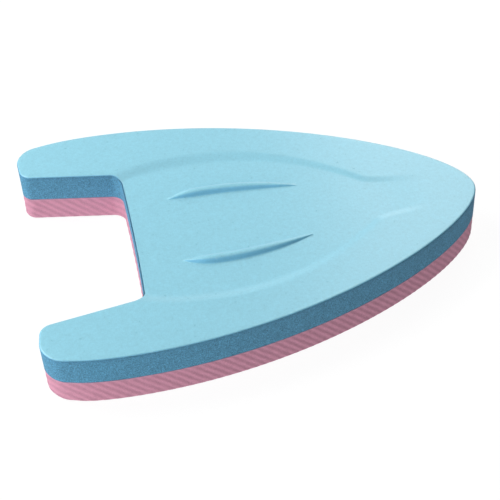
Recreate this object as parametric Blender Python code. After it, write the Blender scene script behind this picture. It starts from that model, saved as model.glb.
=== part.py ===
"""A kickboard float: two sheets of closed-cell foam bonded face to face.

Frame: metres, +Z up, +X towards the nose. The origin is the middle of the
bounding box in plan, at the height of the underside.
"""
import math

import bmesh
import bpy
from mathutils import Vector
from mathutils.geometry import delaunay_2d_cdt, interpolate_bezier

MM = 0.001

# Driving dimensions
LENGTH = 400 * MM
HALF_WIDTH = 144.7 * MM
THICKNESS = 50.3 * MM
SEAM_HEIGHT = 24.2 * MM
TOP_EDGE_RADIUS = 1.5 * MM
BOTTOM_EDGE_RADIUS = 4 * MM
FILM_THICKNESS = 0.4 * MM
FILM_INSET = 1.5 * MM
MESH_GAP = 0.3 * MM

# Plan of one half, y > 0: corners of the outline, each with the length cut off for its blend
NOTCH_END_X = -108.0 * MM
NOTCH_END_HANDLE = (0, 27 * MM)
NOTCH_CORNER = (-109.3 * MM, 81.3 * MM)
NOTCH_CORNER_HANDLE = (0.8 * MM, -27 * MM)
NOTCH_CORNER_CUT = 9.5 * MM
ARM_INNER_CORNER = (-198.0 * MM, 96.5 * MM)
ARM_INNER_CUT = 8.5 * MM
ARM_OUTER_CORNER = (-202.0 * MM, 134.5 * MM)
ARM_OUTER_CUT = 19.4 * MM
FOOT_TUCK = 3.0 * MM
TUCK_REACH = 40 * MM
ARM_SIDE_HANDLE = (19.5 * MM, 3.3 * MM)
WIDEST_X = -125.8 * MM
WIDEST_HANDLES = (43.8 * MM, 170.3 * MM)
NOSE_HANDLE = 48.1 * MM
BLEND_FULLNESS = 0.55

# The sunken panel in the top face. Its border slopes; the middle of the slope follows two curves,
# from the notch to the widest place and on to the neck, which runs out towards the nose
PANEL_DEPTH = 3.0 * MM
NECK_DEPTH = 1.2 * MM
NECK_FADE_X = 112 * MM
PANEL_START = (-117.3 * MM, 75.5 * MM)
PANEL_START_HANDLE = (17 * MM, 11 * MM)
PANEL_WIDEST = (-45 * MM, 90.5 * MM)
PANEL_WIDEST_HANDLES = (28 * MM, 63 * MM)
NECK_START = (104 * MM, 28 * MM)
NECK_START_HANDLE = (-36 * MM, 33 * MM)
NECK_END = (160 * MM, 19.5 * MM)
NECK_END_HANDLE = (-20 * MM, 1.5 * MM)
NECK_HANDLE = (7 * MM, -4.5 * MM)
SLOPE_HALF_WIDTH_REAR = 6.8 * MM
SLOPE_HALF_WIDTH_NECK = 4.4 * MM

# The two raised finger ridges on the panel, blunt at the rear and pointed at the front
RIDGE_REAR = (-71.6 * MM, 40.5 * MM)
RIDGE_REAR_HANDLE = (22 * MM, 8 * MM)
RIDGE_FRONT = (45.2 * MM, 33.3 * MM)
RIDGE_FRONT_HANDLE = (-45 * MM, 12.6 * MM)
RIDGE_HALF_WIDTH = 6.0 * MM
RIDGE_HEIGHT = 4.2 * MM
RIDGE_RISE_PART = 0.24
RIDGE_TAPER_POWER = 3.2

# How finely curves are divided
CORNER_STEPS = 7
ARM_SIDE_STEPS = 10
FLANK_STEPS = 30
EDGE_STEPS = 4
SLOPE_STATIONS = 64
RIDGE_STATIONS = 24
NOTCH_END_STEPS = 12
CLOSEST_POINTS = 1.2 * MM

# Foam colours in linear light
BLUE = (0.325, 0.690, 0.815)
PINK = (0.505, 0.228, 0.312)
CLEAR_GLUE = (0.75, 0.72, 0.62)


def clear_scene():
    for obj in list(bpy.data.objects):
        bpy.data.objects.remove(obj, do_unlink=True)


def smoothstep(value):
    t = min(1.0, max(0.0, value))
    return t * t * (3.0 - 2.0 * t)


def mix(a, b, t):
    return a + (b - a) * t


def curve(start, start_handle, end_handle, end, steps):
    """Points of a Bezier stretch; the handles are given from their own ends."""
    p0 = Vector(start)
    p3 = Vector(end)
    points = interpolate_bezier(p0, p0 + Vector(start_handle), p3 + Vector(end_handle), p3, steps + 1)
    return [Vector(p[:2]) for p in points]


def cut_back(line, distance):
    """The polyline with the given length removed from its last end."""
    points = [p.copy() for p in line]
    left = distance
    while len(points) > 2 and (points[-1] - points[-2]).length <= left:
        left -= (points[-1] - points[-2]).length
        points.pop()
    last = points[-1]
    points[-1] = last + (points[-2] - last).normalized() * left
    return points


def join_with_blend(first, second, cut):
    """Two polylines that meet at a corner, joined by a smooth blend across it."""
    corner = first[-1]
    before = cut_back(first, cut)
    after = cut_back(second[::-1], cut)[::-1]
    blend = curve(
        before[-1],
        (corner - before[-1]) * BLEND_FULLNESS,
        (corner - after[0]) * BLEND_FULLNESS,
        after[0],
        CORNER_STEPS,
    )
    return before + blend[1:-1] + after


def half_outline():
    """The plan outline for y >= 0, from the middle of the notch end round to the nose."""
    notch_corner = Vector(NOTCH_CORNER)
    inner = Vector(ARM_INNER_CORNER)
    outer = Vector(ARM_OUTER_CORNER)
    widest = (WIDEST_X, HALF_WIDTH)
    nose = (LENGTH / 2, 0)
    middle = (NOTCH_END_X, 0)
    notch_end = curve(middle, NOTCH_END_HANDLE, NOTCH_CORNER_HANDLE, notch_corner, NOTCH_END_STEPS)
    side = curve(outer, ARM_SIDE_HANDLE, (-WIDEST_HANDLES[0], 0), widest, ARM_SIDE_STEPS)
    flank = curve(widest, (WIDEST_HANDLES[1], 0), (0, NOSE_HANDLE), nose, FLANK_STEPS)
    line = join_with_blend(notch_end, [notch_corner, inner], NOTCH_CORNER_CUT)
    line = join_with_blend(line, [inner, outer], ARM_INNER_CUT)
    return join_with_blend(line, side + flank[1:], ARM_OUTER_CUT)


def full_outline():
    """The closed plan outline, counter-clockwise seen from above, with no repeated point."""
    half = half_outline()
    other = [Vector((p.x, -p.y)) for p in half[1:-1]]
    return (half + other[::-1])[::-1]


def outward_normals(outline):
    normals = []
    count = len(outline)
    for i in range(count):
        along = (outline[(i + 1) % count] - outline[i - 1]).normalized()
        normals.append(Vector((along.y, -along.x)))
    return normals


def tucked_in(outline, normals, z):
    """The outline at a height: towards the foot the wall leans in at the arms' outer corners."""
    corner = Vector(ARM_OUTER_CORNER)
    moved = []
    for p, n in zip(outline, normals):
        nearness = 1 - (Vector((p.x, abs(p.y))) - corner).length / TUCK_REACH
        moved.append(p - n * (FOOT_TUCK * smoothstep(nearness) * (1 - z / THICKNESS)))
    return moved


def panel_midline():
    rear = curve(
        PANEL_START,
        PANEL_START_HANDLE,
        (-PANEL_WIDEST_HANDLES[0], 0),
        PANEL_WIDEST,
        SLOPE_STATIONS // 4,
    )
    front = curve(
        PANEL_WIDEST,
        (PANEL_WIDEST_HANDLES[1], 0),
        NECK_START_HANDLE,
        NECK_START,
        SLOPE_STATIONS // 2,
    )
    neck = curve(NECK_START, NECK_HANDLE, NECK_END_HANDLE, NECK_END, SLOPE_STATIONS // 4)
    return rear + front[1:] + neck[1:]


def ridge_crest():
    return curve(RIDGE_REAR, RIDGE_REAR_HANDLE, RIDGE_FRONT_HANDLE, RIDGE_FRONT, RIDGE_STATIONS)


MIDLINE = panel_midline()
CREST = ridge_crest()


def follow(line, x):
    """The height y of a line over x, and the cosine of its slope there."""
    for a, b in zip(line, line[1:]):
        if x <= b.x:
            break
    slope = (b.y - a.y) / (b.x - a.x)
    return a.y + slope * (x - a.x), 1 / math.sqrt(1 + slope * slope)


def towards_neck(x):
    """0 where the panel is widest, rising to 1 at the start of its neck."""
    return smoothstep((x - PANEL_WIDEST[0]) / (NECK_START[0] - PANEL_WIDEST[0]))


def slope_half_width(x):
    return mix(SLOPE_HALF_WIDTH_REAR, SLOPE_HALF_WIDTH_NECK, towards_neck(x))


def panel_drop(x, y):
    """How far the panel has sunk below the rim."""
    if x >= NECK_END[0]:
        return 0.0
    middle, cosine = follow(MIDLINE, x)
    inside = smoothstep(0.5 + (middle - abs(y)) * cosine / (2 * slope_half_width(x)))
    depth = mix(PANEL_DEPTH, NECK_DEPTH, towards_neck(x))
    fade = 1 - smoothstep((x - NECK_FADE_X) / (NECK_END[0] - NECK_FADE_X))
    return depth * inside * fade


def ridge_scale(x):
    """The ridge's size at x as a part of its largest size."""
    t = (x - RIDGE_REAR[0]) / (RIDGE_FRONT[0] - RIDGE_REAR[0])
    if t <= 0 or t >= 1:
        return 0.0
    if t < RIDGE_RISE_PART:
        return math.sin(math.pi / 2 * t / RIDGE_RISE_PART)
    return 1 - ((t - RIDGE_RISE_PART) / (1 - RIDGE_RISE_PART)) ** RIDGE_TAPER_POWER


def ridge_rise(x, y):
    """How far a finger ridge stands above the panel."""
    scale = ridge_scale(x)
    if scale <= 0:
        return 0.0
    crest, cosine = follow(CREST, x)
    across = (abs(y) - crest) * cosine / (RIDGE_HALF_WIDTH * scale)
    return RIDGE_HEIGHT * scale * max(0.0, 1 - across * across)


def top_height(x, y):
    return THICKNESS - panel_drop(x, y) + ridge_rise(x, y)


def mirrored(points):
    return points + [Vector((p.x, -p.y)) for p in points]


def offset_line(line, distance):
    """The polyline moved sideways, by a distance that may change with x."""
    moved = []
    for i, p in enumerate(line):
        along = (line[min(i + 1, len(line) - 1)] - line[max(i - 1, 0)]).normalized()
        moved.append(p + Vector((-along.y, along.x)) * distance(p.x))
    return moved


def surface_points():
    """Plan points that the top face needs: along the slope of the panel and over the ridges."""
    points = []
    for part in (-1.0, -0.5, 0.0, 0.5, 1.0):
        points += offset_line(MIDLINE, lambda x, part=part: part * slope_half_width(x))
    for part in (-1.0, -0.6, 0.0, 0.6, 1.0):
        moved = offset_line(CREST, lambda x, part=part: part * RIDGE_HALF_WIDTH * ridge_scale(x))
        points += moved[1:-1]
    points += [CREST[0], CREST[-1]]
    return mirrored(points)


def is_inside(point, loop):
    inside = False
    for a, b in zip(loop, loop[1:] + loop[:1]):
        if (a.y > point.y) != (b.y > point.y):
            if point.x < a.x + (point.y - a.y) * (b.x - a.x) / (b.y - a.y):
                inside = not inside
    return inside


def keep_apart(points, loop, distance):
    """The points inside the loop, without those too close to it or to an earlier point."""
    kept = []
    for p in points:
        crowded = any((p - q).length < distance for q in kept)
        near_rim = any((p - q).length < distance * 2 for q in loop)
        if not crowded and not near_rim and is_inside(p, loop):
            kept.append(p)
    return kept


def add_ring(bm, points, height):
    return [bm.verts.new((p.x, p.y, height(p))) for p in points]


def bridge(bm, lower, upper):
    """Side faces between two rings of the same length, lower one first, facing outwards."""
    count = len(lower)
    for i in range(count):
        j = (i + 1) % count
        bm.faces.new((lower[i], lower[j], upper[j], upper[i]))


def rounded_rings(bm, outline, normals, radius, edge_height, side):
    """Rings that round an edge, from the side wall to the flat. side is +1 for a top edge."""
    rings = []
    for step in range(EDGE_STEPS + 1):
        angle = math.pi / 2 * step / EDGE_STEPS
        inset = radius * (1 - math.cos(angle))
        fall = radius * (1 - math.sin(angle))
        ring = []
        for p, n in zip(outline, normals):
            flat = p - n * radius
            moved = p - n * inset
            ring.append(bm.verts.new((moved.x, moved.y, edge_height(flat) - side * fall)))
        rings.append(ring)
    return rings


def fill_top(bm, rim):
    """The top face inside the rim ring, with the sunken panel and the ridges."""
    loop = [Vector(v.co[:2]) for v in rim]
    inner = keep_apart(surface_points(), loop, CLOSEST_POINTS)
    edges = [(i, (i + 1) % len(loop)) for i in range(len(loop))]
    places, _, triangles, sources, _, _ = delaunay_2d_cdt(loop + inner, edges, [], 1, 1e-6)
    verts = []
    for place, source in zip(places, sources):
        if source and source[0] < len(loop):
            verts.append(rim[source[0]])
        else:
            verts.append(bm.verts.new((place.x, place.y, top_height(place.x, place.y))))
    for triangle in triangles:
        bm.faces.new([verts[i] for i in triangle])


def finish_object(name, bm, material, smooth_angle):
    bmesh.ops.recalc_face_normals(bm, faces=bm.faces)
    mesh = bpy.data.meshes.new(name)
    bm.to_mesh(mesh)
    bm.free()
    mesh.shade_smooth()
    mesh.set_sharp_from_angle(angle=math.radians(smooth_angle))
    mesh.materials.append(material)
    obj = bpy.data.objects.new(name, mesh)
    bpy.context.collection.objects.link(obj)
    return obj


def foam_material(name, colour, roughness):
    material = bpy.data.materials.new(name)
    material.use_nodes = True
    shader = material.node_tree.nodes["Principled BSDF"]
    shader.inputs["Base Color"].default_value = (*colour, 1)
    shader.inputs["Roughness"].default_value = roughness
    shader.inputs["Metallic"].default_value = 0
    return material


def make_top_foam(outline, normals, material):
    """The upper sheet: rounded top edge, sunken panel, neck and two finger ridges."""
    bm = bmesh.new()
    underside = SEAM_HEIGHT + FILM_THICKNESS / 2 + MESH_GAP
    base = add_ring(bm, tucked_in(outline, normals, underside), lambda p: underside)
    rings = rounded_rings(bm, outline, normals, TOP_EDGE_RADIUS, lambda p: top_height(p.x, p.y), 1)
    bridge(bm, base, rings[0])
    for lower, upper in zip(rings, rings[1:]):
        bridge(bm, lower, upper)
    fill_top(bm, rings[-1])
    bm.faces.new(base[::-1])
    return finish_object("top_foam", bm, material, 40)


def make_bottom_foam(outline, normals, material):
    """The lower sheet: flat, with a rounded edge round its underside."""
    bm = bmesh.new()
    topside = SEAM_HEIGHT - FILM_THICKNESS / 2 - MESH_GAP
    cap = add_ring(bm, tucked_in(outline, normals, topside), lambda p: topside)
    foot = tucked_in(outline, normals, 0)
    rings = rounded_rings(bm, foot, normals, BOTTOM_EDGE_RADIUS, lambda p: 0.0, -1)
    bridge(bm, rings[0], cap)
    for upper, lower in zip(rings, rings[1:]):
        bridge(bm, lower, upper)
    bm.faces.new(cap)
    bm.faces.new(rings[-1][::-1])
    return finish_object("bottom_foam", bm, material, 40)


def make_bond_film(outline, normals, material):
    """The thin layer of adhesive between the sheets, held back from the outline."""
    bm = bmesh.new()
    low = SEAM_HEIGHT - FILM_THICKNESS / 2
    inset = [p - n * FILM_INSET for p, n in zip(tucked_in(outline, normals, low), normals)]
    lower = add_ring(bm, inset, lambda p: low)
    upper = add_ring(bm, inset, lambda p: low + FILM_THICKNESS)
    bridge(bm, lower, upper)
    bm.faces.new(lower[::-1])
    bm.faces.new(upper)
    return finish_object("bond_film", bm, material, 30)


def main():
    clear_scene()
    outline = full_outline()
    normals = outward_normals(outline)
    board = bpy.data.objects.new("kickboard", None)
    bpy.context.collection.objects.link(board)
    parts = (
        make_top_foam(outline, normals, foam_material("blue_foam", BLUE, 0.72)),
        make_bond_film(outline, normals, foam_material("adhesive", CLEAR_GLUE, 0.45)),
        make_bottom_foam(outline, normals, foam_material("pink_foam", PINK, 0.75)),
    )
    for part in parts:
        part.parent = board


main()
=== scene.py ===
"""The kickboard float as it looks: two bonded sheets of closed-cell foam.

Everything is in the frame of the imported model: metres, +Z up, +X towards the nose.
"""
import math

import bmesh
import bpy
import numpy as np
from mathutils import Matrix, Vector
from mathutils.geometry import delaunay_2d_cdt, interpolate_bezier


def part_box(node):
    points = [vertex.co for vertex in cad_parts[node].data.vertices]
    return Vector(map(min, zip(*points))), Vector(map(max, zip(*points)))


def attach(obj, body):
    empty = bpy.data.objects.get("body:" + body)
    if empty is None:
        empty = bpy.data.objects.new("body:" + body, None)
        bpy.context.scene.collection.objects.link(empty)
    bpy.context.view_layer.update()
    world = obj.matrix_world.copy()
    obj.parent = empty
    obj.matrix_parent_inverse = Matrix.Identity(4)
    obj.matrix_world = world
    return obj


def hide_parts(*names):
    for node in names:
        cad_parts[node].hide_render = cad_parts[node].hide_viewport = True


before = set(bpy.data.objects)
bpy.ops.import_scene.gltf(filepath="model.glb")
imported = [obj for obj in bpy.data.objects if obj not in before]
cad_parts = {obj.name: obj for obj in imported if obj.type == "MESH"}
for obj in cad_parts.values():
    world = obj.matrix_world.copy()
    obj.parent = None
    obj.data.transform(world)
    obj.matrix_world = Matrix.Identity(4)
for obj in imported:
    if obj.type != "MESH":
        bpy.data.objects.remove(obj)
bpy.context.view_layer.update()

MM = 0.001

# ---------------------------------------------------------------- sizes read from the frame
BOTTOM_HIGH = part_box("bottom_foam")[1]
TOP_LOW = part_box("top_foam")[0]
NOSE_X = BOTTOM_HIGH.x
HALF_WIDTH = BOTTOM_HIGH.y
SEAM_Z = (BOTTOM_HIGH.z + TOP_LOW.z) / 2

# ---------------------------------------------------------------- shape of the board
RIM_Z = 50.3 * MM
TOP_EDGE_RADIUS = 1.5 * MM
BOTTOM_EDGE_RADIUS = 4.0 * MM
SEAM_EDGE_RADIUS = 0.35 * MM
GLUE_HALF_THICKNESS = 0.06 * MM
GLUE_INSET = 0.45 * MM
GLUE_FILL = 0.8

# Plan of one half, y > 0: corners of the outline, each with the length cut off for its blend
NOTCH_END_X = -108.0 * MM
NOTCH_END_HANDLE = (0, 27 * MM)
NOTCH_CORNER = (-109.3 * MM, 81.3 * MM)
NOTCH_CORNER_HANDLE = (0.8 * MM, -27 * MM)
NOTCH_CORNER_CUT = 9.5 * MM
ARM_INNER_CORNER = (-198.0 * MM, 96.5 * MM)
ARM_INNER_CUT = 8.5 * MM
ARM_OUTER_CORNER = (-202.0 * MM, 134.5 * MM)
ARM_OUTER_CUT = 19.4 * MM
ARM_SIDE_HANDLE = (19.5 * MM, 3.3 * MM)
WIDEST_X = -125.8 * MM
WIDEST_HANDLES = (43.8 * MM, 170.3 * MM)
NOSE_HANDLE = 48.1 * MM
BLEND_FULLNESS = 0.55

# How far the wall leans in at the foot of the arms' outer corners, and how far round them
FOOT_TUCK = 3.0 * MM
TUCK_REACH = 40 * MM

# The sunken panel, whose sloping border follows a middle line from the notch to the neck
PANEL_DEPTH = 3.0 * MM
NECK_DEPTH = 1.2 * MM
NECK_FADE_X = 112 * MM
PANEL_START = (-117.3 * MM, 75.5 * MM)
PANEL_START_HANDLE = (17 * MM, 11 * MM)
PANEL_WIDEST = (-45 * MM, 90.5 * MM)
PANEL_WIDEST_HANDLES = (28 * MM, 63 * MM)
NECK_START = (104 * MM, 28 * MM)
NECK_START_HANDLE = (-36 * MM, 33 * MM)
NECK_END = (160 * MM, 19.5 * MM)
NECK_END_HANDLE = (-20 * MM, 1.5 * MM)
NECK_HANDLE = (7 * MM, -4.5 * MM)
SLOPE_HALF_WIDTH_REAR = 6.8 * MM
SLOPE_HALF_WIDTH_NECK = 4.4 * MM

# The two finger ridges, blunt at the rear and pointed at the front
RIDGE_REAR = (-71.6 * MM, 40.5 * MM)
RIDGE_REAR_HANDLE = (22 * MM, 8 * MM)
RIDGE_FRONT = (45.2 * MM, 33.3 * MM)
RIDGE_FRONT_HANDLE = (-45 * MM, 12.6 * MM)
RIDGE_HALF_WIDTH = 6.0 * MM
RIDGE_HEIGHT = 4.2 * MM
RIDGE_RISE_PART = 0.24
RIDGE_TAPER_POWER = 3.2

# Diagonal ribs moulded into the lower sheet: parallel planes, this many waves per millimetre
RIB_WAVES = Vector((0.112, 0.100, 0.133)) / MM
RIB_DEPTH = 0.22 * MM
RIB_FADE = 2.0 * MM

# ---------------------------------------------------------------- colours, in linear light
SKIN_COLOUR = (0.314, 0.673, 0.812, 1)
# The wall's colour: partly the cut cells' own deeper blue, partly painted shade on the sides
CUT_AND_SHADE_COLOUR = (0.085, 0.285, 0.448, 1)
CUT_EDGE_COLOUR = (0.058, 0.200, 0.335, 1)
SEAM_COLOUR = (0.050, 0.110, 0.190, 1)
SCUFF_COLOUR = (0.480, 0.760, 0.850, 1)
PINK_COLOUR = (0.600, 0.272, 0.378, 1)
# Painted highlight: a lighter band along the pink sheet's shoulder just under the seam
LIP_HIGHLIGHT_COLOUR = (0.650, 0.385, 0.530, 1)
# Painted shadow: a darker band at the foot of the pink sheet
FOOT_SHADOW_COLOUR = (0.340, 0.176, 0.230, 1)
GLUE_COLOUR = (0.250, 0.170, 0.220, 1)
# Painted shade: a deeper blue for the steep flanks of the ridges and the panel's border
SHADED_FLANK_COLOUR = (0.205, 0.560, 0.790, 1)

# Skin against the cut wall colour, which carries painted shade, and painted shade on steep flanks against
# open skin, by how far the surface faces up
SKIN_NORMAL = (0.40, 0.75)
SHADED_FLANK_NORMAL = (0.95, 0.76)
UNDER_EDGE = (45.8 * MM, 48.8 * MM)
LOW_EDGE = (SEAM_Z + 0.9 * MM, SEAM_Z)
SKIN_ROUGHNESS = 0.29
SKIN_ROUGHNESS_SWING = 0.06
CUT_ROUGHNESS = 0.80
PINK_ROUGHNESS = 0.72
PINK_ROUGHNESS_SWING = 0.12
GLUE_ROUGHNESS = 0.5

# How strongly a colour near an edge takes over from the foam's own colour; on the lip it is a painted
# highlight, at the foot a painted shadow
UNDER_EDGE_SHARE = 0.35
LOW_EDGE_SHARE = 0.6
SCUFF_SHARE = 0.25
LIP_HIGHLIGHT_SHARE = 0.35
FOOT_SHADOW_SHARE = 0.45

# The painted highlight on the lip under the seam and the painted shadow at the foot of the lower sheet,
# as heights
LIP_HIGHLIGHT_BAND = (SEAM_Z - 1.6 * MM, SEAM_Z - 0.4 * MM)
FOOT_SHADOW_BAND = (2.2 * MM, 0.4 * MM)

# Scuffs: the noise levels that show, and the slopes of the rim they keep to
SCUFF_LEVELS = (0.60, 0.74)
SCUFF_FROM = (0.50, 0.80)
SCUFF_UNTIL = (0.99, 0.90)

# ---------------------------------------------------------------- grain of the materials
WEAVE_SIZE = 0.9 * MM
WEAVE_STRETCH = 3.2
SPECK_SIZE = 3.5 * MM
PATCH_SIZE = 9.0 * MM
CELL_SIZE = 1.1 * MM
FUZZ_SIZE = 0.9 * MM
MOTTLE_SIZE = 4.0 * MM
SCUFF_SIZE = 5.0 * MM
PINK_GRAIN_SIZE = 1.1 * MM
PINK_MOTTLE_SIZE = 7 * MM
PINK_CELL_SIZE = 1.0 * MM
GLUE_MOTTLE_SIZE = 3 * MM

# Lighter and darker tint from each grain, as a part of the colour
WEAVE_TINT = 0.12
SPECK_TINT = 0.065
PATCH_TINT = 0.025
CELL_TINT = 0.35
FUZZ_TINT = 0.80
MOTTLE_TINT = 0.18
# Painted highlight on the rib crests and painted shade in their troughs
RIB_HIGHLIGHT_AND_SHADE_TINT = 0.10
PINK_GRAIN_TINT = 0.22
PINK_MOTTLE_TINT = 0.10
GLUE_TINT = 0.2

# Bump heights
WEAVE_BUMP = 0.02 * MM
CELL_BUMP = 0.12 * MM
PINK_CELL_BUMP = 0.10 * MM
RIB_BUMP = 0.12 * MM
CELL_SMOOTHNESS = 0.6

# The ribs' painted highlight and shade, and their bump, wander in phase and fade in and out, and stop at
# the underside
RIB_WANDER_SIZE = 9 * MM
RIB_WANDER = 2.4
RIB_PATCH_SIZE = 6 * MM
RIB_PATCH_SWING = 1.2
RIB_PATCH_LEAST = 0.2
RIB_WALL_NORMAL = (-0.9, -0.5)

# Sockets of the Mix node when it mixes colours
MIX_FIRST = 6
MIX_SECOND = 7
MIX_RESULT = 2

# ---------------------------------------------------------------- fineness
CURVE_STEPS = 60
FLANK_STEPS = 180
NORMAL_REACH = 2
COLUMN_SPACING = 0.95 * MM
ROW_SPACING = 1.0 * MM
EDGE_STEPS = 6
SEAM_EDGE_STEPS = 3
GRID_COARSE = 4.0 * MM
GRID_FINE = 1.6 * MM
BORDER_SPACING = 1.5 * MM
BORDER_ROWS = 15
BORDER_REACH = 1.1
RIDGE_SPACING = 1.2 * MM
RIDGE_ROWS = 11
RIM_MARGIN = 1.5 * MM
GRID_REACH = 210 * MM
MERGE_DISTANCE = 1e-7

# How far the plain grid stays off the border, as a part of its reach, and off the ridges, and
# how near to them it is fine, in ridge half widths
BORDER_CLEARANCE = 0.53
RIDGE_CLEARANCE = 1.25
RIDGE_FINE_REACH = 2.2


# ================================================================ plan outline
def smoothstep(value):
    t = min(1.0, max(0.0, value))
    return t * t * (3.0 - 2.0 * t)


def mix(a, b, t):
    return a + (b - a) * t


def curve(start, start_handle, end_handle, end, steps=CURVE_STEPS):
    """Points of a Bezier stretch; the handles are given from their own ends."""
    p0 = Vector(start)
    p3 = Vector(end)
    points = interpolate_bezier(p0, p0 + Vector(start_handle), p3 + Vector(end_handle), p3, steps + 1)
    return [Vector(p[:2]) for p in points]


def cut_back(line, distance):
    """The polyline with the given length removed from its last end."""
    points = [p.copy() for p in line]
    left = distance
    while len(points) > 2 and (points[-1] - points[-2]).length <= left:
        left -= (points[-1] - points[-2]).length
        points.pop()
    last = points[-1]
    points[-1] = last + (points[-2] - last).normalized() * left
    return points


def join_with_blend(first, second, cut):
    """Two polylines that meet at a corner, joined by a smooth blend across it."""
    corner = first[-1]
    before = cut_back(first, cut)
    after = cut_back(second[::-1], cut)[::-1]
    blend = curve(
        before[-1],
        (corner - before[-1]) * BLEND_FULLNESS,
        (corner - after[0]) * BLEND_FULLNESS,
        after[0],
    )
    return before + blend[1:-1] + after


def half_outline():
    """The plan outline for y >= 0, from the middle of the notch end round to the nose."""
    notch_corner = Vector(NOTCH_CORNER)
    inner = Vector(ARM_INNER_CORNER)
    outer = Vector(ARM_OUTER_CORNER)
    widest = (WIDEST_X, HALF_WIDTH)
    side = curve(outer, ARM_SIDE_HANDLE, (-WIDEST_HANDLES[0], 0), widest)
    flank = curve(widest, (WIDEST_HANDLES[1], 0), (0, NOSE_HANDLE), (NOSE_X, 0), FLANK_STEPS)
    end = curve((NOTCH_END_X, 0), NOTCH_END_HANDLE, NOTCH_CORNER_HANDLE, notch_corner)
    line = join_with_blend(end, [notch_corner, inner], NOTCH_CORNER_CUT)
    line = join_with_blend(line, [inner, outer], ARM_INNER_CUT)
    return join_with_blend(line, side + flank[1:], ARM_OUTER_CUT)


def even_spacing(line, spacing):
    """The polyline with points at even steps of about the given length."""
    xy = np.array([p[:] for p in line])
    lengths = np.r_[0, np.cumsum(np.linalg.norm(np.diff(xy, axis=0), axis=1))]
    count = max(2, round(lengths[-1] / spacing)) + 1
    at = np.linspace(0, lengths[-1], count)
    xs = np.interp(at, lengths, xy[:, 0])
    ys = np.interp(at, lengths, xy[:, 1])
    return [Vector((x, y)) for x, y in zip(xs, ys)]


def full_outline(spacing):
    """The closed plan outline, counter-clockwise seen from above, with no repeated point."""
    half = even_spacing(half_outline(), spacing)
    other = [Vector((p.x, -p.y)) for p in half[1:-1]]
    return (half + other[::-1])[::-1]


def outward_normals(outline):
    count = len(outline)
    normals = []
    for i in range(count):
        along = (outline[(i + NORMAL_REACH) % count] - outline[i - NORMAL_REACH]).normalized()
        normals.append(Vector((along.y, -along.x)))
    return normals


# ================================================================ top surface
def panel_midline():
    rear = curve(PANEL_START, PANEL_START_HANDLE, (-PANEL_WIDEST_HANDLES[0], 0), PANEL_WIDEST)
    front = curve(PANEL_WIDEST, (PANEL_WIDEST_HANDLES[1], 0), NECK_START_HANDLE, NECK_START)
    neck = curve(NECK_START, NECK_HANDLE, NECK_END_HANDLE, NECK_END)
    return rear + front[1:] + neck[1:]


def line_table(line):
    """A line as arrays of x, y and the cosine of its slope, to be read by x."""
    xy = np.array([p[:] for p in line])
    slope = np.gradient(xy[:, 1], xy[:, 0])
    return xy[:, 0], xy[:, 1], 1 / np.sqrt(1 + slope**2)


MIDLINE = line_table(panel_midline())
CREST_LINE = curve(RIDGE_REAR, RIDGE_REAR_HANDLE, RIDGE_FRONT_HANDLE, RIDGE_FRONT)
CREST = line_table(CREST_LINE)


def read_line(table, x):
    xs, ys, cosines = table
    return float(np.interp(x, xs, ys)), float(np.interp(x, xs, cosines))


def towards_neck(x):
    """0 where the panel is widest, rising to 1 at the start of its neck."""
    return smoothstep((x - PANEL_WIDEST[0]) / (NECK_START[0] - PANEL_WIDEST[0]))


def slope_half_width(x):
    return mix(SLOPE_HALF_WIDTH_REAR, SLOPE_HALF_WIDTH_NECK, towards_neck(x))


def slope_position(x, y):
    """Where a point is across the panel's sloping border: 0 on the rim, 1 on the panel."""
    middle, cosine = read_line(MIDLINE, x)
    return 0.5 + (middle - abs(y)) * cosine / (2 * slope_half_width(x))


def panel_drop(x, y):
    """How far the panel has sunk below the rim."""
    if x >= NECK_END[0]:
        return 0.0
    depth = mix(PANEL_DEPTH, NECK_DEPTH, towards_neck(x))
    fade = 1 - smoothstep((x - NECK_FADE_X) / (NECK_END[0] - NECK_FADE_X))
    return depth * smoothstep(slope_position(x, y)) * fade


def ridge_scale(x):
    """The ridge's size at x as a part of its largest size."""
    t = (x - RIDGE_REAR[0]) / (RIDGE_FRONT[0] - RIDGE_REAR[0])
    if t <= 0 or t >= 1:
        return 0.0
    if t < RIDGE_RISE_PART:
        return math.sin(math.pi / 2 * t / RIDGE_RISE_PART)
    return 1 - ((t - RIDGE_RISE_PART) / (1 - RIDGE_RISE_PART)) ** RIDGE_TAPER_POWER


def ridge_across(x, y):
    """Distance from the crest line as a part of the ridge's half width there."""
    scale = ridge_scale(x)
    if scale <= 0:
        return math.inf
    crest, cosine = read_line(CREST, x)
    return (abs(y) - crest) * cosine / (RIDGE_HALF_WIDTH * scale)


def ridge_rise(x, y):
    """How far a finger ridge stands above the panel."""
    across = ridge_across(x, y)
    if abs(across) >= 1:
        return 0.0
    return RIDGE_HEIGHT * ridge_scale(x) * (1 - across * across)


def top_height(x, y):
    return RIM_Z - panel_drop(x, y) + ridge_rise(x, y)


def mirrored(points):
    return points + [Vector((p.x, -p.y)) for p in points]


def rows_along(line, count, reach):
    """Plan points in rows beside a line, out to the reach given for each x, on both sides."""
    points = []
    for i in range(1, len(line) - 1):
        along = (line[i + 1] - line[i - 1]).normalized()
        across = Vector((-along.y, along.x))
        for row in range(count):
            part = -1 + 2 * row / (count - 1)
            points.append(line[i] + across * (part * reach(line[i].x)))
    return points


def border_points():
    line = even_spacing(panel_midline(), BORDER_SPACING)
    return rows_along(line, BORDER_ROWS, lambda x: BORDER_REACH * slope_half_width(x))


def ridge_points():
    line = even_spacing(CREST_LINE, RIDGE_SPACING)
    ends = [Vector(RIDGE_REAR), Vector(RIDGE_FRONT)]
    return rows_along(line, RIDGE_ROWS, lambda x: RIDGE_HALF_WIDTH * ridge_scale(x)) + ends


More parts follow.
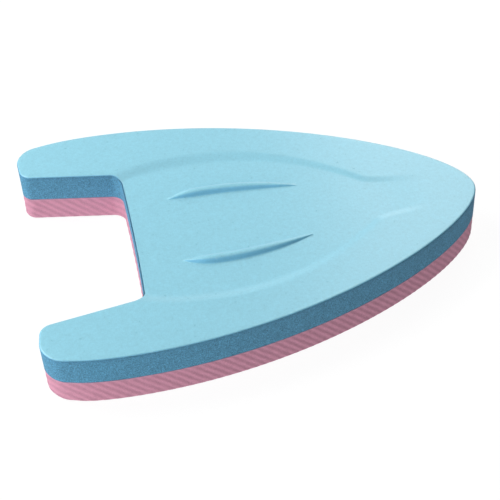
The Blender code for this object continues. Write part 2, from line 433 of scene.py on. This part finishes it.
def is_plain(x, y):
    """True away from the panel's border and the ridges, where coarse points will do."""
    in_border = abs(slope_position(x, y) - 0.5) < BORDER_REACH * BORDER_CLEARANCE and x < NECK_END[0]
    return not in_border and abs(ridge_across(x, y)) > RIDGE_CLEARANCE


def grid_points():
    """A coarse grid of plan points, finer close to the ridges."""
    reach = int(GRID_REACH / GRID_FINE)
    skip = round(GRID_COARSE / GRID_FINE)
    points = []
    for i in range(-reach, reach + 1):
        for j in range(-reach, reach + 1):
            x = i * GRID_FINE
            y = j * GRID_FINE
            fine = abs(ridge_across(x, y)) < RIDGE_FINE_REACH
            if (fine or (i % skip == 0 and j % skip == 0)) and is_plain(x, y):
                points.append(Vector((x, y)))
    return points


def inside_loop(points, loop, margin):
    """The points that lie inside a closed outline, clear of it by the margin along y."""
    xs = np.array([p.x for p in loop])
    ys = np.array([p.y for p in loop])
    return [p for p in points if between(column_crossings(xs, ys, p.x), p.y, margin)]


def column_crossings(xs, ys, x):
    """The y values where a closed outline crosses the line of constant x, sorted."""
    nxt_x = np.roll(xs, -1)
    nxt_y = np.roll(ys, -1)
    hit = (xs > x) != (nxt_x > x)
    return np.sort(ys[hit] + (x - xs[hit]) * (nxt_y[hit] - ys[hit]) / (nxt_x[hit] - xs[hit]))


def between(crossings, y, margin):
    for low, high in zip(crossings[::2], crossings[1::2]):
        if low + margin < y < high - margin:
            return True
    return False


# ================================================================ meshes
def add_ring(bm, outline, normals, z, inset=0.0):
    """A ring of the wall, moved in; towards the foot the wall leans in at the arms' outer corners."""
    corner = Vector(ARM_OUTER_CORNER)
    ring = []
    for p, n in zip(outline, normals):
        nearness = 1 - (Vector((p.x, abs(p.y))) - corner).length / TUCK_REACH
        tuck = FOOT_TUCK * smoothstep(nearness) * (1 - z / RIM_Z)
        moved = p - n * (tuck + inset + rib_cut(p, z))
        ring.append(bm.verts.new((moved.x, moved.y, z)))
    return ring


def rib_cut(p, z):
    """How deep the ribs cut into the wall at a point; there are none above the seam."""
    phase = 2 * math.pi * RIB_WAVES.dot((p.x, p.y, z))
    fade = smoothstep((SEAM_Z - z) / RIB_FADE) * smoothstep(z / RIB_FADE)
    return RIB_DEPTH * (0.5 + 0.5 * math.sin(phase)) * fade


def bridge(bm, lower, upper):
    """Side faces between two rings of the same length, lower one first, facing outwards."""
    count = len(lower)
    for i in range(count):
        j = (i + 1) % count
        bm.faces.new((lower[i], lower[j], upper[j], upper[i]))


def fill(bm, rim, inner, height, upwards):
    """A face of triangles inside the rim ring, through the inner plan points."""
    loop = [Vector(v.co[:2]) for v in rim]
    edges = [(i, (i + 1) % len(loop)) for i in range(len(loop))]
    places, _, triangles, sources, _, _ = delaunay_2d_cdt(loop + inner, edges, [], 1, MERGE_DISTANCE)
    verts = []
    for place, source in zip(places, sources):
        if source and source[0] < len(loop):
            verts.append(rim[source[0]])
        else:
            verts.append(bm.verts.new((place.x, place.y, height(place.x, place.y))))
    for triangle in triangles:
        corners = [verts[i] for i in triangle]
        bm.faces.new(corners if upwards else corners[::-1])


def make_piece(name, bm, node, materials):
    mesh = bpy.data.meshes.new(name)
    bm.to_mesh(mesh)
    bm.free()
    mesh.shade_smooth()
    for material in materials:
        mesh.materials.append(material)
    obj = bpy.data.objects.new(name, mesh)
    bpy.context.scene.collection.objects.link(obj)
    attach(obj, "root")
    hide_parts(node)
    return obj


def rim_ring(bm, outline, normals, angle, rim_z):
    """One ring of the rounded top edge: angle 0 is the side wall, a right angle is the flat face."""
    inset = TOP_EDGE_RADIUS * (1 - math.cos(angle))
    fall = TOP_EDGE_RADIUS * (1 - math.sin(angle))
    ring = []
    for p, n, z in zip(outline, normals, rim_z):
        moved = p - n * inset
        ring.append(bm.verts.new((moved.x, moved.y, z - fall)))
    return ring


def top_sheet(outline, normals, material):
    """The upper sheet: a rounded lower edge at the seam, the wall, the rim and the top face."""
    bm = bmesh.new()
    low = SEAM_Z + GLUE_HALF_THICKNESS
    rings = []
    for step in range(SEAM_EDGE_STEPS + 1):
        angle = math.pi / 2 * step / SEAM_EDGE_STEPS
        z = low + SEAM_EDGE_RADIUS * (1 - math.cos(angle))
        rings.append(add_ring(bm, outline, normals, z, SEAM_EDGE_RADIUS * (1 - math.sin(angle))))
    wall_low = low + SEAM_EDGE_RADIUS
    rows = round((RIM_Z - TOP_EDGE_RADIUS - wall_low) / ROW_SPACING)
    for row in range(1, rows):
        rings.append(add_ring(bm, outline, normals, mix(wall_low, RIM_Z - TOP_EDGE_RADIUS, row / rows)))
    flat = [p - n * TOP_EDGE_RADIUS for p, n in zip(outline, normals)]
    rim_z = [top_height(p.x, p.y) for p in flat]
    for step in range(EDGE_STEPS + 1):
        rings.append(rim_ring(bm, outline, normals, math.pi / 2 * step / EDGE_STEPS, rim_z))
    for lower, upper in zip(rings, rings[1:]):
        bridge(bm, lower, upper)
    loop = [Vector(v.co[:2]) for v in rings[-1]]
    inner = inside_loop(grid_points() + mirrored(border_points() + ridge_points()), loop, RIM_MARGIN)
    fill(bm, rings[-1], inner, top_height, True)
    fill(bm, rings[0], [], lambda x, y: low, False)
    return make_piece("top_foam_sheet", bm, "top_foam", [material])


def bottom_sheet(outline, normals, material):
    """The lower sheet: a rounded foot, the ribbed wall and a rounded edge at the seam."""
    bm = bmesh.new()
    high = SEAM_Z - GLUE_HALF_THICKNESS
    levels = []
    for step in range(EDGE_STEPS, -1, -1):
        angle = math.pi / 2 * step / EDGE_STEPS
        inset = BOTTOM_EDGE_RADIUS * (1 - math.cos(angle))
        levels.append((inset, BOTTOM_EDGE_RADIUS * (1 - math.sin(angle))))
    wall_high = high - SEAM_EDGE_RADIUS
    rows = round((wall_high - BOTTOM_EDGE_RADIUS) / ROW_SPACING)
    for row in range(1, rows):
        levels.append((0, mix(BOTTOM_EDGE_RADIUS, wall_high, row / rows)))
    for step in range(SEAM_EDGE_STEPS + 1):
        angle = math.pi / 2 * step / SEAM_EDGE_STEPS
        inset = SEAM_EDGE_RADIUS * (1 - math.cos(angle))
        levels.append((inset, wall_high + SEAM_EDGE_RADIUS * math.sin(angle)))
    rings = [add_ring(bm, outline, normals, z, inset) for inset, z in levels]
    for lower, upper in zip(rings, rings[1:]):
        bridge(bm, lower, upper)
    fill(bm, rings[-1], [], lambda x, y: high, True)
    fill(bm, rings[0], [], lambda x, y: 0.0, False)
    return make_piece("bottom_foam_sheet", bm, "bottom_foam", [material])


def glue_layer(outline, normals, material):
    """The adhesive between the sheets, held back from the wall."""
    bm = bmesh.new()
    reach = GLUE_HALF_THICKNESS * GLUE_FILL
    lower = add_ring(bm, outline, normals, SEAM_Z - reach, GLUE_INSET)
    upper = add_ring(bm, outline, normals, SEAM_Z + reach, GLUE_INSET)
    bridge(bm, lower, upper)
    fill(bm, upper, [], lambda x, y: 0.0, True)
    fill(bm, lower, [], lambda x, y: 0.0, False)
    return make_piece("glue_layer", bm, "bond_film", [material])


# ================================================================ materials
def add_node(tree, kind, settings=None, **inputs):
    """A shader node; inputs are given by socket name, as a value or as a socket to link from."""
    made = tree.nodes.new(kind)
    for key, value in (settings or {}).items():
        setattr(made, key, value)
    for key, value in inputs.items():
        feed(tree, made.inputs[key.replace("_", " ")], value)
    return made


def feed(tree, socket, value):
    if isinstance(value, bpy.types.NodeSocket):
        tree.links.new(value, socket)
    else:
        socket.default_value = value


def number(tree, operation, *values):
    """The result of a maths node."""
    made = tree.nodes.new("ShaderNodeMath")
    made.operation = operation
    for socket, value in zip(made.inputs, values):
        feed(tree, socket, value)
    return made.outputs[0]


def ramp(tree, value, low, high, to_low=0.0, to_high=1.0):
    """A smooth step of the value between two levels."""
    made = add_node(
        tree, "ShaderNodeMapRange", {"interpolation_type": "SMOOTHSTEP"},
        Value=value, From_Min=low, From_Max=high, To_Min=to_low, To_Max=to_high,
    )
    return made.outputs["Result"]


def blend(tree, amount, first, second, mode="MIX"):
    made = tree.nodes.new("ShaderNodeMix")
    made.data_type = "RGBA"
    made.blend_type = mode
    feed(tree, made.inputs["Factor"], amount)
    feed(tree, made.inputs[MIX_FIRST], first)
    feed(tree, made.inputs[MIX_SECOND], second)
    return made.outputs[MIX_RESULT]


def noise(tree, point, size, detail=2.0, stretch=(1, 1, 1)):
    """Noise between 0 and 1 whose blobs are about the given size, longer where stretch is more than 1."""
    scale = tuple(1 / (size * s) for s in stretch)
    scaled = add_node(tree, "ShaderNodeMapping", {"vector_type": "POINT"}, Vector=point, Scale=scale)
    made = add_node(tree, "ShaderNodeTexNoise", Vector=scaled.outputs[0], Scale=1.0, Detail=detail)
    return made.outputs["Fac"]


def cells(tree, point, size):
    """Rounded foam cells: the distance to the nearest cell centre."""
    made = add_node(
        tree, "ShaderNodeTexVoronoi", {"feature": "SMOOTH_F1"},
        Vector=point, Scale=1 / size, Smoothness=CELL_SMOOTHNESS,
    )
    return made.outputs["Distance"]


def tinted(tree, colour, amounts):
    """The colour made lighter and darker by noise values, each with its strength."""
    factor = 1.0
    for value, strength in amounts:
        swing = number(tree, "MULTIPLY_ADD", value, 2 * strength, -strength)
        factor = number(tree, "ADD", factor, swing)
    grey = add_node(tree, "ShaderNodeCombineColor", Red=factor, Green=factor, Blue=factor)
    return blend(tree, 1.0, colour, grey.outputs[0], "MULTIPLY")


def bumped(tree, height, depth, below=None):
    made = add_node(tree, "ShaderNodeBump", Height=height, Strength=1.0, Distance=depth)
    if below is not None:
        tree.links.new(below, made.inputs["Normal"])
    return made.outputs["Normal"]


def new_material(name):
    """A material with its tree, shader, place socket, and the parts of the place and normal."""
    material = bpy.data.materials.new(name)
    material.use_nodes = True
    tree = material.node_tree
    place = tree.nodes.new("ShaderNodeTexCoord")
    normal = add_node(tree, "ShaderNodeSeparateXYZ", Vector=place.outputs["Normal"])
    point = add_node(tree, "ShaderNodeSeparateXYZ", Vector=place.outputs["Object"])
    shader = tree.nodes["Principled BSDF"]
    return material, tree, shader, place.outputs["Object"], point.outputs, normal.outputs


def blue_material():
    """Smooth embossed skin above with painted shade on its steep flanks, open cut cells on the wall in a
    deeper blue that is partly painted shade.
    """
    material, tree, shader, place, point, normal = new_material("blue_foam")
    skin = ramp(tree, normal["Z"], *SKIN_NORMAL)
    # Painted shade on steep flanks, by how far the surface faces up
    flank = number(tree, "MULTIPLY", ramp(tree, normal["Z"], *SHADED_FLANK_NORMAL), skin)

    weave_x = noise(tree, place, WEAVE_SIZE, 1.0, (WEAVE_STRETCH, 1, 1))
    weave_y = noise(tree, place, WEAVE_SIZE, 1.0, (1, WEAVE_STRETCH, 1))
    weave = number(tree, "MULTIPLY", number(tree, "ADD", weave_x, weave_y), 0.5)
    specks = noise(tree, place, SPECK_SIZE, 1.0)
    patches = noise(tree, place, PATCH_SIZE, 2.0)
    skin_colour = blend(tree, flank, SKIN_COLOUR, SHADED_FLANK_COLOUR)
    amounts = [(weave, WEAVE_TINT), (specks, SPECK_TINT), (patches, PATCH_TINT)]
    skin_colour = tinted(tree, skin_colour, amounts)

    grain = cells(tree, place, CELL_SIZE)
    fuzz = noise(tree, place, FUZZ_SIZE, 2.0)
    mottle = noise(tree, place, MOTTLE_SIZE, 3.0)
    amounts = [(grain, CELL_TINT), (fuzz, FUZZ_TINT), (mottle, MOTTLE_TINT)]
    # The wall colour is partly the cut cells' own and partly painted shade
    cut_and_shade_colour = tinted(tree, CUT_AND_SHADE_COLOUR, amounts)
    under_edge = ramp(tree, point["Z"], *UNDER_EDGE)
    share = number(tree, "MULTIPLY", under_edge, UNDER_EDGE_SHARE)
    cut_and_shade_colour = blend(tree, share, cut_and_shade_colour, CUT_EDGE_COLOUR)
    low_edge = ramp(tree, point["Z"], *LOW_EDGE)
    share = number(tree, "MULTIPLY", low_edge, LOW_EDGE_SHARE)
    cut_and_shade_colour = blend(tree, share, cut_and_shade_colour, SEAM_COLOUR)

    scuff = ramp(tree, noise(tree, place, SCUFF_SIZE, 4.0), *SCUFF_LEVELS)
    rim_start = ramp(tree, normal["Z"], *SCUFF_FROM)
    rim_end = ramp(tree, normal["Z"], *SCUFF_UNTIL)
    rim = number(tree, "MULTIPLY", rim_start, rim_end)
    scuff = number(tree, "MULTIPLY", number(tree, "MULTIPLY", scuff, rim), SCUFF_SHARE)
    colour = blend(tree, skin, cut_and_shade_colour, skin_colour)
    colour = blend(tree, scuff, colour, SCUFF_COLOUR)
    feed(tree, shader.inputs["Base Color"], colour)

    smoothest = SKIN_ROUGHNESS - SKIN_ROUGHNESS_SWING / 2
    glossy = number(tree, "MULTIPLY_ADD", specks, SKIN_ROUGHNESS_SWING, smoothest)
    dull = number(tree, "SUBTRACT", 1.0, skin)
    glossy_part = number(tree, "MULTIPLY", glossy, skin)
    feed(tree, shader.inputs["Roughness"], number(tree, "MULTIPLY_ADD", dull, CUT_ROUGHNESS, glossy_part))

    surface = bumped(tree, weave, WEAVE_BUMP)
    pits = number(tree, "MULTIPLY", grain, dull)
    feed(tree, shader.inputs["Normal"], bumped(tree, pits, CELL_BUMP, surface))
    return material


def pink_material():
    """Ribbed, slightly fibrous foam; the ribs carry a painted highlight on their crests and painted shade
    in their troughs.
    """
    material, tree, shader, place, point, normal = new_material("pink_foam")
    waves = add_node(tree, "ShaderNodeVectorMath", {"operation": "DOT_PRODUCT"}, Vector=place)
    waves.inputs[1].default_value = RIB_WAVES * (2 * math.pi)
    wander = noise(tree, place, RIB_WANDER_SIZE, 2.0)
    phase = number(tree, "MULTIPLY_ADD", wander, RIB_WANDER, waves.outputs["Value"])
    rib = number(tree, "MULTIPLY_ADD", number(tree, "SINE", phase), -0.5, 0.5)
    patch = noise(tree, place, RIB_PATCH_SIZE, 2.0)
    strength = number(tree, "MULTIPLY_ADD", patch, RIB_PATCH_SWING, RIB_PATCH_LEAST)
    rib = number(tree, "MULTIPLY_ADD", number(tree, "SUBTRACT", rib, 0.5), strength, 0.5)
    on_wall = ramp(tree, normal["Z"], *RIB_WALL_NORMAL)
    rib = number(tree, "MULTIPLY_ADD", number(tree, "SUBTRACT", rib, 0.5), on_wall, 0.5)
    grain = noise(tree, place, PINK_GRAIN_SIZE, 2.0)
    mottle = noise(tree, place, PINK_MOTTLE_SIZE, 3.0)
    amounts = [(rib, RIB_HIGHLIGHT_AND_SHADE_TINT), (grain, PINK_GRAIN_TINT), (mottle, PINK_MOTTLE_TINT)]
    colour = tinted(tree, PINK_COLOUR, amounts)
    # Painted highlight along the shoulder under the seam
    lip = number(tree, "MULTIPLY", ramp(tree, point["Z"], *LIP_HIGHLIGHT_BAND), LIP_HIGHLIGHT_SHARE)
    colour = blend(tree, lip, colour, LIP_HIGHLIGHT_COLOUR)
    # Painted shadow at the foot of the lower sheet
    foot = number(tree, "MULTIPLY", ramp(tree, point["Z"], *FOOT_SHADOW_BAND), FOOT_SHADOW_SHARE)
    colour = blend(tree, foot, colour, FOOT_SHADOW_COLOUR)
    feed(tree, shader.inputs["Base Color"], colour)
    roughness = number(tree, "MULTIPLY_ADD", grain, PINK_ROUGHNESS_SWING, PINK_ROUGHNESS)
    feed(tree, shader.inputs["Roughness"], roughness)
    surface = bumped(tree, cells(tree, place, PINK_CELL_SIZE), PINK_CELL_BUMP)
    feed(tree, shader.inputs["Normal"], bumped(tree, rib, RIB_BUMP, surface))
    return material


def glue_material():
    """Dried contact cement, nearly hidden in the joint."""
    material, tree, shader, place, _, _ = new_material("contact_cement")
    colour = tinted(tree, GLUE_COLOUR, [(noise(tree, place, GLUE_MOTTLE_SIZE, 2.0), GLUE_TINT)])
    feed(tree, shader.inputs["Base Color"], colour)
    shader.inputs["Roughness"].default_value = GLUE_ROUGHNESS
    return material


# ================================================================ scene
CAMERA_TARGET = Vector((-13.75 * MM, -45.8 * MM, 52.2 * MM))
CAMERA_DISTANCE = 1.2100
CAMERA_ELEVATION = math.radians(42.541)
CAMERA_AZIMUTH = math.radians(-9.958)
CAMERA_ROLL = math.radians(-1.834)
CAMERA_LENS = 102.28
CAMERA_SENSOR = 36

# A pale floor that glows a little, so that it stays near white under the soft lights
FLOOR_HALF_SIZE = 6
FLOOR_Z = -0.2 * MM
FLOOR_COLOUR = (0.1, 0.1, 0.1, 1)
FLOOR_ROUGHNESS = 0.9
FLOOR_GLOW = 0.94

# Soft area lights: name, place, aimed at, width, height, watts. The world adds no light
AMBIENT = 0.0
LIGHTS = (
    ("overhead_back", (-1.35, 0.9, 1.75), (0, 0, 0), 1.2, 1.2, 35.5),
    ("overhead_left", (-1.3, 0, 1.8), (0, 0, 0), 1.2, 1.2, 6.4),
    ("back_panel", (0.90, 1.2, 1.1), (0.90, 0, 0.3), 1.1, 1.5, 15.5),
    ("low_back", (0, 1.7, 0.65), (0, 0, 0.05), 3.0, 0.9, 5.6),
    ("left_fill", (-1.6, -0.8, 0.6), (0, 0, 0), 1.0, 1.0, 20.8),
    ("front_fill", (0, -2.0, 0.9), (0, 0, 0), 1.6, 1.0, 2.8),
)


def add_camera():
    """Above the near side of the board, turned a little towards its tail."""
    back = Vector((
        math.sin(CAMERA_AZIMUTH) * math.cos(CAMERA_ELEVATION),
        -math.cos(CAMERA_AZIMUTH) * math.cos(CAMERA_ELEVATION),
        math.sin(CAMERA_ELEVATION),
    ))
    right = (-back).cross(Vector((0, 0, 1))).normalized()
    up = right.cross(-back)
    right_rolled = right * math.cos(CAMERA_ROLL) + up * math.sin(CAMERA_ROLL)
    up_rolled = up * math.cos(CAMERA_ROLL) - right * math.sin(CAMERA_ROLL)
    data = bpy.data.cameras.new("camera")
    data.sensor_width = CAMERA_SENSOR
    data.lens = CAMERA_LENS
    camera = bpy.data.objects.new("camera", data)
    rotation = Matrix((right_rolled, up_rolled, back)).transposed()
    place = CAMERA_TARGET + back * CAMERA_DISTANCE
    camera.matrix_world = Matrix.Translation(place) @ rotation.to_4x4()
    bpy.context.scene.collection.objects.link(camera)
    bpy.context.scene.camera = camera


def add_floor():
    mesh = bpy.data.meshes.new("floor")
    half = FLOOR_HALF_SIZE
    corners = [(-half, -half), (half, -half), (half, half), (-half, half)]
    mesh.from_pydata([(x, y, FLOOR_Z) for x, y in corners], [], [(0, 1, 2, 3)])
    floor = bpy.data.objects.new("floor", mesh)
    material = bpy.data.materials.new("pale_floor")
    material.use_nodes = True
    shader = material.node_tree.nodes["Principled BSDF"]
    shader.inputs["Base Color"].default_value = FLOOR_COLOUR
    shader.inputs["Roughness"].default_value = FLOOR_ROUGHNESS
    shader.inputs["Specular IOR Level"].default_value = 0.0
    shader.inputs["Emission Color"].default_value = (1, 1, 1, 1)
    shader.inputs["Emission Strength"].default_value = FLOOR_GLOW
    mesh.materials.append(material)
    bpy.context.scene.collection.objects.link(floor)
    floor.visible_glossy = False


def add_area(name, place, target, width, height, watts):
    data = bpy.data.lights.new(name, "AREA")
    data.shape = "RECTANGLE"
    data.size = width
    data.size_y = height
    data.energy = watts
    light = bpy.data.objects.new(name, data)
    light.location = place
    light.rotation_euler = (Vector(target) - Vector(place)).to_track_quat("-Z", "Y").to_euler()
    bpy.context.scene.collection.objects.link(light)


def add_lights():
    world = bpy.data.worlds.new("studio")
    world.use_nodes = True
    background = world.node_tree.nodes["Background"]
    background.inputs["Color"].default_value = (1, 1, 1, 1)
    background.inputs["Strength"].default_value = AMBIENT
    bpy.context.scene.world = world
    for light in LIGHTS:
        add_area(*light)


def main():
    add_camera()
    add_floor()
    add_lights()
    outline = full_outline(COLUMN_SPACING)
    normals = outward_normals(outline)
    top_sheet(outline, normals, blue_material())
    bottom_sheet(outline, normals, pink_material())
    glue_layer(outline, normals, glue_material())
    bpy.context.scene.view_settings.view_transform = "Standard"


main()
